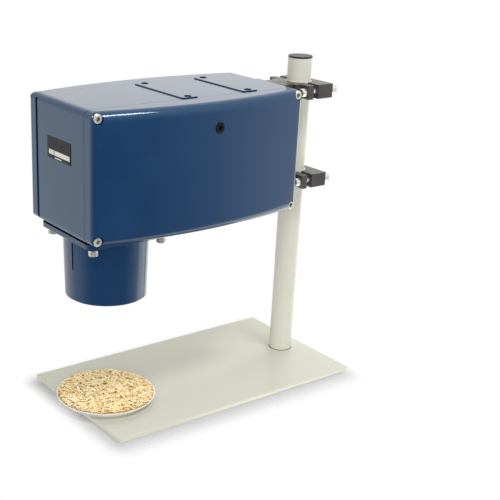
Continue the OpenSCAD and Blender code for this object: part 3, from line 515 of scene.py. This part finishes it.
def shavingsTree(strips):
    kinds = {"Density": "NodeSocketFloat", "Seed": "NodeSocketInt", "Tilt": "NodeSocketFloat",
             "Lift": "NodeSocketFloat", "Smallest": "NodeSocketFloat", "Largest": "NodeSocketFloat",
             "Middle": "NodeSocketVector", "Strip Reach": "NodeSocketFloat", "Outer": "NodeSocketFloat",
             "Half Long": "NodeSocketFloat", "Heap Shade Tone": "NodeSocketFloat", "Wood": "NodeSocketMaterial"}
    tree, start, end = newTree("shavingsTree", kinds)
    where = addNode(tree, "GeometryNodeInputPosition")
    flat = addNode(tree, "ShaderNodeVectorMath", {1: (1, 1, 0)}, {0: where.outputs[0]}, operation="MULTIPLY")
    away = addNode(tree, "ShaderNodeVectorMath", links={0: flat.outputs[0], 1: start.outputs["Middle"]},
                   operation="DISTANCE")
    inside = addNode(tree, "ShaderNodeMath", operation="LESS_THAN", links={
        0: away.outputs["Value"], 1: start.outputs["Strip Reach"]})
    thick = addNode(tree, "ShaderNodeMath", links={0: inside.outputs[0], 1: start.outputs["Density"]},
                    operation="MULTIPLY")
    points = addNode(tree, "GeometryNodeDistributePointsOnFaces", distribute_method="RANDOM", links={
        "Mesh": start.outputs["Geometry"], "Density": thick.outputs[0], "Seed": start.outputs["Seed"]})
    spin = addNode(tree, "FunctionNodeRandomValue", {"Seed": 1}, data_type="FLOAT_VECTOR")
    minusTilt = addNode(tree, "ShaderNodeMath", {1: -1.0}, {0: start.outputs["Tilt"]}, operation="MULTIPLY")
    low = addNode(tree, "ShaderNodeCombineXYZ", {"Z": 0.0},
                  {"X": minusTilt.outputs[0], "Y": minusTilt.outputs[0]})
    high = addNode(tree, "ShaderNodeCombineXYZ", {"Z": 2 * math.pi},
                   {"X": start.outputs["Tilt"], "Y": start.outputs["Tilt"]})
    tree.links.new(low.outputs[0], spin.inputs[0])
    tree.links.new(high.outputs[0], spin.inputs[1])
    size = addNode(tree, "FunctionNodeRandomValue", {"Seed": 2}, data_type="FLOAT")
    tree.links.new(start.outputs["Smallest"], size.inputs[2])
    tree.links.new(start.outputs["Largest"], size.inputs[3])
    room = addNode(tree, "ShaderNodeMath", links={0: start.outputs["Outer"], 1: away.outputs["Value"]},
                   operation="SUBTRACT")
    fits = addNode(tree, "ShaderNodeMath", links={0: room.outputs[0], 1: start.outputs["Half Long"]},
                   operation="DIVIDE")
    kept = addNode(tree, "ShaderNodeMath", links={0: fits.outputs[0], 1: size.outputs[1]},
                   operation="MINIMUM")  # strips near the rim are shorter, so that they stay in the dish
    info = addNode(tree, "GeometryNodeCollectionInfo", {"Collection": strips, "Separate Children": True,
                                                        "Reset Children": True})
    placed = addNode(tree, "GeometryNodeInstanceOnPoints", {"Pick Instance": True}, {
        "Points": points.outputs["Points"], "Instance": info.outputs[0], "Rotation": spin.outputs[0],
        "Scale": kept.outputs[0]})
    rise = addNode(tree, "FunctionNodeRandomValue", {2: 0.0, "Seed": 3}, data_type="FLOAT")
    tree.links.new(start.outputs["Lift"], rise.inputs[3])
    up = addNode(tree, "ShaderNodeCombineXYZ", links={"Z": rise.outputs[1]})
    lifted = addNode(tree, "GeometryNodeTranslateInstances", {"Local Space": False},
                     {"Instances": placed.outputs[0], "Translation": up.outputs[0]})
    tone = addNode(tree, "FunctionNodeRandomValue", {2: 0.0, 3: 1.0, "Seed": 4}, data_type="FLOAT")
    toned = addNode(tree, "GeometryNodeStoreNamedAttribute", {"Name": shavingsLook["attribute"]}, {
        "Geometry": lifted.outputs[0], "Value": tone.outputs[1]}, data_type="FLOAT", domain="INSTANCE")
    # the heap beneath the strips gets a dark wood tone: painted shade in the gaps between strips
    base = addNode(tree, "GeometryNodeStoreNamedAttribute", {"Name": shavingsLook["attribute"]}, {
        "Geometry": start.outputs["Geometry"], "Value": start.outputs["Heap Shade Tone"]}, data_type="FLOAT",
        domain="POINT")
    joined = addNode(tree, "GeometryNodeJoinGeometry")
    tree.links.new(toned.outputs[0], joined.inputs[0])
    tree.links.new(base.outputs[0], joined.inputs[0])
    real = addNode(tree, "GeometryNodeRealizeInstances", links={"Geometry": joined.outputs[0]})
    finish = addNode(tree, "GeometryNodeSetMaterial", links={"Geometry": real.outputs[0],
                                                              "Material": start.outputs["Wood"]})
    tree.links.new(finish.outputs[0], end.inputs[0])
    return tree


def makeShavings(s):
    strips = stripCollection(s)
    smallest, largest = s["scale"]
    heap = treeToMesh("shavingsHeap", shavingsTree(strips), {
        "Density": s["density"], "Seed": s["seed"], "Tilt": s["tilt"], "Lift": s["lift"],
        "Smallest": smallest, "Largest": largest, "Middle": (dishMiddle.x, dishMiddle.y, 0.0),
        "Strip Reach": s["stripReach"], "Outer": s["outer"], "Half Long": s["halfLong"],
        "Heap Shade Tone": s["heapShadeTone"], "Wood": woodShavings}, heapMesh(s))
    for strip in list(strips.objects):
        bpy.data.objects.remove(strip)
    bpy.data.collections.remove(strips)
    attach(heap, "dish")
    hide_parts("sample_shavings")
    print("shavings:", len(heap.data.polygons), "faces")


makeShavings(shavings)


# Knurled rims round the heads of the socket-head screws: one ridge, repeated round a rim and on every head

knurls = {"ridges": 40, "rimRadius": 0.00644, "ridgeDeep": 0.00028, "ridgeWide": 0.00056, "long": 0.0052,
          "headRadius": 0.0065, "headHalf": 0.004, "coverInset": 0.0085,
          "snoutPitch": 0.114, "clampPitch": 0.076}


def headSpots(k):
    coverLow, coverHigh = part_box("front_cover")
    snoutLow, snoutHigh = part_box("snout")
    boltLow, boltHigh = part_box("clamp_bolts")
    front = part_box("front_cover_screws")[0][1] + k["headHalf"]
    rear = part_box("rear_cover_screws")[1][1] - k["headHalf"]
    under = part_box("snout_screws")[0][2] + k["headHalf"]
    right = boltHigh[0] - k["headHalf"]
    snoutMiddle = (snoutLow[0] + snoutHigh[0]) / 2
    spots = [((x, y, z), (0, 1, 0)) for x in (coverLow[0] + k["coverInset"], coverHigh[0] - k["coverInset"])
             for y in (front, rear) for z in (coverLow[2] + k["coverInset"], coverHigh[2] - k["coverInset"])]
    spots += [((snoutMiddle + i * k["snoutPitch"] / 2, j * k["snoutPitch"] / 2, under), (0, 0, 1))
              for i in (-1, 1) for j in (-1, 1)]
    spots += [((right, j * k["clampPitch"] / 2, z), (1, 0, 0)) for j in (-1, 1)
              for z in (boltLow[2] + k["headRadius"], boltHigh[2] - k["headRadius"])]
    return spots


def spotMesh(spots):
    mesh = bpy.data.meshes.new("spots")
    mesh.from_pydata([place for place, way in spots], [], [])
    ways = mesh.attributes.new("way", "FLOAT_VECTOR", "POINT")
    for item, (place, way) in zip(ways.data, spots):
        item.vector = way
    return mesh


def knurlTree():
    tree, start, end = newTree("knurlTree", {
        "Ridges": "NodeSocketInt", "Rim Radius": "NodeSocketFloat", "Long": "NodeSocketFloat",
        "Ridge Size": "NodeSocketVector", "Steel": "NodeSocketMaterial"})
    bar = addNode(tree, "GeometryNodeMeshCylinder", {"Vertices": 3, "Radius": 1.0},
                  {"Depth": start.outputs["Long"]}, fill_type="NGON")  # three sides, so each ridge is sharp
    ridge = addNode(tree, "GeometryNodeTransform", links={"Geometry": bar.outputs["Mesh"],
                                                          "Scale": start.outputs["Ridge Size"]})
    rim = addNode(tree, "GeometryNodeMeshCircle", links={"Vertices": start.outputs["Ridges"],
                                                         "Radius": start.outputs["Rim Radius"]})
    where = addNode(tree, "GeometryNodeInputPosition")
    outward = addNode(tree, "FunctionNodeAlignEulerToVector", links={"Vector": where.outputs[0]},
                      axis="X", pivot_axis="Z")
    ring = addNode(tree, "GeometryNodeInstanceOnPoints", links={
        "Points": rim.outputs[0], "Instance": ridge.outputs[0], "Rotation": outward.outputs[0]})
    ringMesh = addNode(tree, "GeometryNodeRealizeInstances", links={"Geometry": ring.outputs[0]})
    way = addNode(tree, "GeometryNodeInputNamedAttribute", {"Name": "way"}, data_type="FLOAT_VECTOR")
    along = addNode(tree, "FunctionNodeAlignEulerToVector", links={"Vector": way.outputs[0]}, axis="Z")
    heads = addNode(tree, "GeometryNodeInstanceOnPoints", links={
        "Points": start.outputs["Geometry"], "Instance": ringMesh.outputs[0], "Rotation": along.outputs[0]})
    real = addNode(tree, "GeometryNodeRealizeInstances", links={"Geometry": heads.outputs[0]})
    finish = addNode(tree, "GeometryNodeSetMaterial", links={"Geometry": real.outputs[0],
                                                             "Material": start.outputs["Steel"]})
    tree.links.new(finish.outputs[0], end.inputs[0])
    return tree


def makeKnurls(k):
    rims = treeToMesh("screwKnurls", knurlTree(), {
        "Ridges": k["ridges"], "Rim Radius": k["rimRadius"], "Long": k["long"],
        "Ridge Size": (k["ridgeDeep"], k["ridgeWide"], 1.0), "Steel": stainlessSteel}, spotMesh(headSpots(k)))
    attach(rims, "head")
    print("knurls:", len(rims.data.polygons), "faces")


makeKnurls(knurls)


# Dark rings round the four tapped holes in the top pads, and a black ring round the foot of the pole,
# painted shade where the pole meets the plate

bodyLow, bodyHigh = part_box("housing_body")
poleLow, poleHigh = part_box("pole")
padRings = {"pitch": 0.108, "offset": 0.047, "radius": 0.0048, "section": 0.0012, "sides": 32,
            "sectionSides": 8}
footRing = {"radius": (poleHigh[0] - poleLow[0]) / 2, "section": 0.0013, "sides": 72, "sectionSides": 8}


def ringTree():
    tree, start, end = newTree("ringTree", {
        "Radius": "NodeSocketFloat", "Section": "NodeSocketFloat", "Sides": "NodeSocketInt",
        "Section Sides": "NodeSocketInt", "Rubber": "NodeSocketMaterial"})
    circle = addNode(tree, "GeometryNodeCurvePrimitiveCircle", links={
        "Resolution": start.outputs["Sides"], "Radius": start.outputs["Radius"]})
    section = addNode(tree, "GeometryNodeCurvePrimitiveCircle", links={
        "Resolution": start.outputs["Section Sides"], "Radius": start.outputs["Section"]})
    ring = addNode(tree, "GeometryNodeCurveToMesh", links={
        "Curve": circle.outputs[0], "Profile Curve": section.outputs[0]})
    rings = addNode(tree, "GeometryNodeInstanceOnPoints", links={
        "Points": start.outputs["Geometry"], "Instance": ring.outputs[0]})
    real = addNode(tree, "GeometryNodeRealizeInstances", links={"Geometry": rings.outputs[0]})
    finish = addNode(tree, "GeometryNodeSetMaterial", links={
        "Geometry": real.outputs[0], "Material": start.outputs["Rubber"]})
    tree.links.new(finish.outputs[0], end.inputs[0])
    return tree


def makeRings(name, r, places, body):
    upright = [(place, (0, 0, 1)) for place in places]
    rings = treeToMesh(name, ringTree(), {
        "Radius": r["radius"], "Section": r["section"] / 2, "Sides": r["sides"],
        "Section Sides": r["sectionSides"], "Rubber": blackRubber}, spotMesh(upright))
    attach(rings, body)
    print(name + ":", len(rings.data.polygons), "faces")


def padPlaces(p):
    middle = (bodyLow[0] + bodyHigh[0]) / 2 + p["offset"]
    half = p["pitch"] / 2
    return [(middle + i * half, j * half, bodyHigh[2]) for i in (-1, 1) for j in (-1, 1)]


makeRings("padRings", padRings, padPlaces(padRings), "head")
footPlace = ((poleLow[0] + poleHigh[0]) / 2, (poleLow[1] + poleHigh[1]) / 2, poleLow[2])
# the black ring at the pole's foot stands in for the contact shade there: painted shade
makeRings("footRing", footRing, [footPlace], "stand")


# Blank fields on the nameplate, measured from its lower corner: a light bar in two parts and a short line

plateFields = {"proud": 0.00015, "sunk": 0.0001, "fields": [
    (0.0450, 0.0586, 0.0054, 0.0121), (0.0019, 0.0433, 0.0054, 0.0121), (0.0233, 0.0422, 0.0014, 0.0029)]}


def headPiece(name, shape, material):
    mesh = bpy.data.meshes.new(name)
    shape.to_mesh(mesh)
    shape.free()
    mesh.materials.append(material)
    piece = bpy.data.objects.new(name, mesh)
    scene.collection.objects.link(piece)
    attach(piece, "head")
    return piece


def makeFields(p):
    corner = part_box("nameplate")[0]
    shape = bmesh.new()
    for y0, y1, z0, z1 in p["fields"]:
        part = bmesh.ops.create_cube(shape, size=1.0)["verts"]
        bmesh.ops.scale(shape, verts=part, vec=(p["proud"] + p["sunk"], y1 - y0, z1 - z0))
        middle = ((p["sunk"] - p["proud"]) / 2, (y0 + y1) / 2, (z0 + z1) / 2)
        bmesh.ops.translate(shape, verts=part, vec=Vector(corner) + Vector(middle))
    headPiece("nameplateFields", shape, fieldWhite)


makeFields(plateFields)
print("nameplate fields made")


# Painted strip that closes the rear seam along the top and over the rounded corners

seamStrip = {"gap": 0.00005, "wide": 0.0059, "corner": 0.010, "sunk": 0.00003, "thick": 0.0025, "turn": 62,
             "steps": 10}


def makeSeamStrip(s):
    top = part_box("rear_cover")[1][2]
    front = bodyHigh[1] + s["gap"]
    rear = front + s["wide"]
    outer = s["corner"] - s["sunk"]
    inner = outer - s["thick"]
    bends = [(bodyLow[0] + s["corner"], -step / s["steps"]) for step in range(s["steps"], -1, -1)]
    bends += [(bodyHigh[0] - s["corner"], step / s["steps"]) for step in range(s["steps"] + 1)]
    shape = bmesh.new()
    rows = []
    for middle, share in bends:
        a = math.radians(s["turn"]) * share
        row = []
        for y, r in ((front, outer), (rear, outer), (rear, inner), (front, inner)):
            z = top - s["corner"] + r * math.cos(a)
            row.append(shape.verts.new((middle + r * math.sin(a), y, z)))
        rows.append(row)
    closeBar(shape, rows)
    headPiece("seamStrip", shape, bluePaint)


makeSeamStrip(seamStrip)
print("seam strip made")


# Stage: pale floor, world and soft lamps. Seen straight or in a mirror, the floor shows only near the plate,
# in a darker colour than other light meets, and fades into plain white: a painted shadow round the plate,
# over its real shadow. All other light meets a wider patch of it further to the front.

floorSizes = {"radius": 1.0, "sides": 96, "under": 0.0005, "roughness": 0.9, "gloss": 0.1,
              "colour": (0.765, 0.765, 0.775),
              "middle": (0.10, -0.38, 0.0), "fade": (0.25, 0.36), "paintedShadowColour": (0.57, 0.57, 0.578),
              "shadowMiddle": (-0.0090, -0.0120, 0.0), "shadowHalf": (0.2140, 0.1100, 0.0),
              "shadowStretch": (1.35, 1.0, 0.0), "shadowFade": (0.0, 0.052)}


def makeFloor(s):
    mesh = bpy.data.meshes.new("floor")
    shape = bmesh.new()
    bmesh.ops.create_circle(shape, cap_ends=True, radius=s["radius"], segments=s["sides"])
    bmesh.ops.translate(shape, verts=shape.verts, vec=(0, 0, -s["under"]))
    shape.to_mesh(mesh)
    shape.free()
    floor = bpy.data.objects.new("floor", mesh)
    scene.collection.objects.link(floor)
    material, tree, shader = newMaterial("paleFloor")
    setSockets(shader, {"Roughness": s["roughness"], "Specular IOR Level": s["gloss"]})
    coords = objectCoords(tree)
    away = vectorNode(tree, "DISTANCE", coords, s["middle"])
    solid = remap(tree, away, *s["fade"], 1, 0, smooth=True)
    # seen floor: a darker colour fading out round the plate, leaning to the front left and stretched: painted
    # shadow
    leaning = vectorNode(tree, "ABSOLUTE", vectorNode(tree, "SUBTRACT", coords, s["shadowMiddle"]))
    outside = vectorNode(tree, "MAXIMUM", vectorNode(tree, "SUBTRACT", leaning, s["shadowHalf"]), (0, 0, 0))
    beside = vectorNode(tree, "LENGTH", vectorNode(tree, "MULTIPLY", outside, s["shadowStretch"]))
    paintedShadowAlpha = remap(tree, beside, *s["shadowFade"], 1, 0, smooth=True)
    ray = tree.nodes.new("ShaderNodeLightPath")
    mirrored = mathNode(tree, "MAXIMUM", ray.outputs["Is Glossy Ray"], ray.outputs["Is Transmission Ray"])
    seen = mathNode(tree, "MAXIMUM", ray.outputs["Is Camera Ray"], mirrored)
    tree.links.new(mixValue(tree, seen, solid, paintedShadowAlpha), shader.inputs["Alpha"])
    tree.links.new(mixColour(tree, seen, s["colour"], s["paintedShadowColour"]), shader.inputs["Base Color"])
    mesh.materials.append(material)


makeFloor(floorSizes)

# The world by direction: plain light, a dark flag low on the front left, and three soft boxes

worldLook = {"ambient": 0.75, "shown": 1.0, "tint": (1.0, 0.985, 0.95), "white": (1.0, 1.0, 1.0),
             "dark": 0.12, "darkWay": (-0.40, -0.84, -0.36), "darkRange": (0.10, 0.88), "boxes": [
                 {"way": (0.547, 0.753, 0.365), "range": (0.70, 0.95), "level": 0.29},
                 {"way": (-0.45, 0.82, -0.36), "range": (0.93, 0.985), "level": 0.22},
                 {"way": (0.664, 0.242, -0.707), "range": (0.700, 0.765), "level": 1.17}]}


def makeWorld(w):
    world = bpy.data.worlds.new("studio")
    world.use_nodes = True
    tree = world.node_tree
    tree.nodes.clear()
    out = tree.nodes.new("ShaderNodeOutputWorld")
    background = tree.nodes.new("ShaderNodeBackground")
    tree.links.new(background.outputs[0], out.inputs[0])
    way = tree.nodes.new("ShaderNodeTexCoord").outputs["Generated"]

    def towards(direction, limits, low, high):
        near = vectorNode(tree, "DOT_PRODUCT", way, tuple(Vector(direction).normalized()))
        return remap(tree, near, *limits, low, high, smooth=True)

    ray = tree.nodes.new("ShaderNodeLightPath")
    plain = mixValue(tree, ray.outputs["Is Glossy Ray"], w["ambient"], w["shown"])
    level = mathNode(tree, "MULTIPLY", towards(w["darkWay"], w["darkRange"], 1, w["dark"]), plain)
    for box in w["boxes"]:
        level = mathNode(tree, "ADD", level, towards(box["way"], box["range"], 0, box["level"]))
    seen = mathNode(tree, "MAXIMUM", ray.outputs["Is Camera Ray"], ray.outputs["Is Transmission Ray"])
    tree.links.new(mixValue(tree, seen, level, w["shown"]), background.inputs["Strength"])
    tree.links.new(mixColour(tree, seen, w["tint"], w["white"]), background.inputs["Color"])
    scene.world = world


makeWorld(worldLook)

lamps = {
    "keyLamp": {"place": (0.24, -0.72, 1.90), "target": (-0.05, 0.0, 0.30), "size": (0.56, 0.26),
                "power": 13, "shines": True},
    "frontLamp": {"place": (-1.5, -2.1, 0.75), "target": (-0.05, 0.0, 0.20), "size": (1.0, 1.0),
                  "power": 38, "shines": False},
    "rightLamp": {"place": (2.0, 0.8, 0.85), "target": (0.0, 0.0, 0.20), "size": (1.1, 0.8),
                  "power": 18, "shines": False},
}


def makeLamp(name, look):
    data = bpy.data.lights.new(name, "AREA")
    data.shape = "RECTANGLE"
    data.size, data.size_y = look["size"]
    data.energy = look["power"]
    lamp = bpy.data.objects.new(name, data)
    scene.collection.objects.link(lamp)
    way = Vector(look["target"]) - Vector(look["place"])
    lamp.matrix_world = Matrix.Translation(look["place"]) @ way.to_track_quat("-Z", "Y").to_matrix().to_4x4()
    lamp.visible_camera = False
    lamp.visible_glossy = look["shines"]  # a mirrored broad lamp would turn the glossy top white from behind


for name, look in lamps.items():
    makeLamp(name, look)
print("stage set")
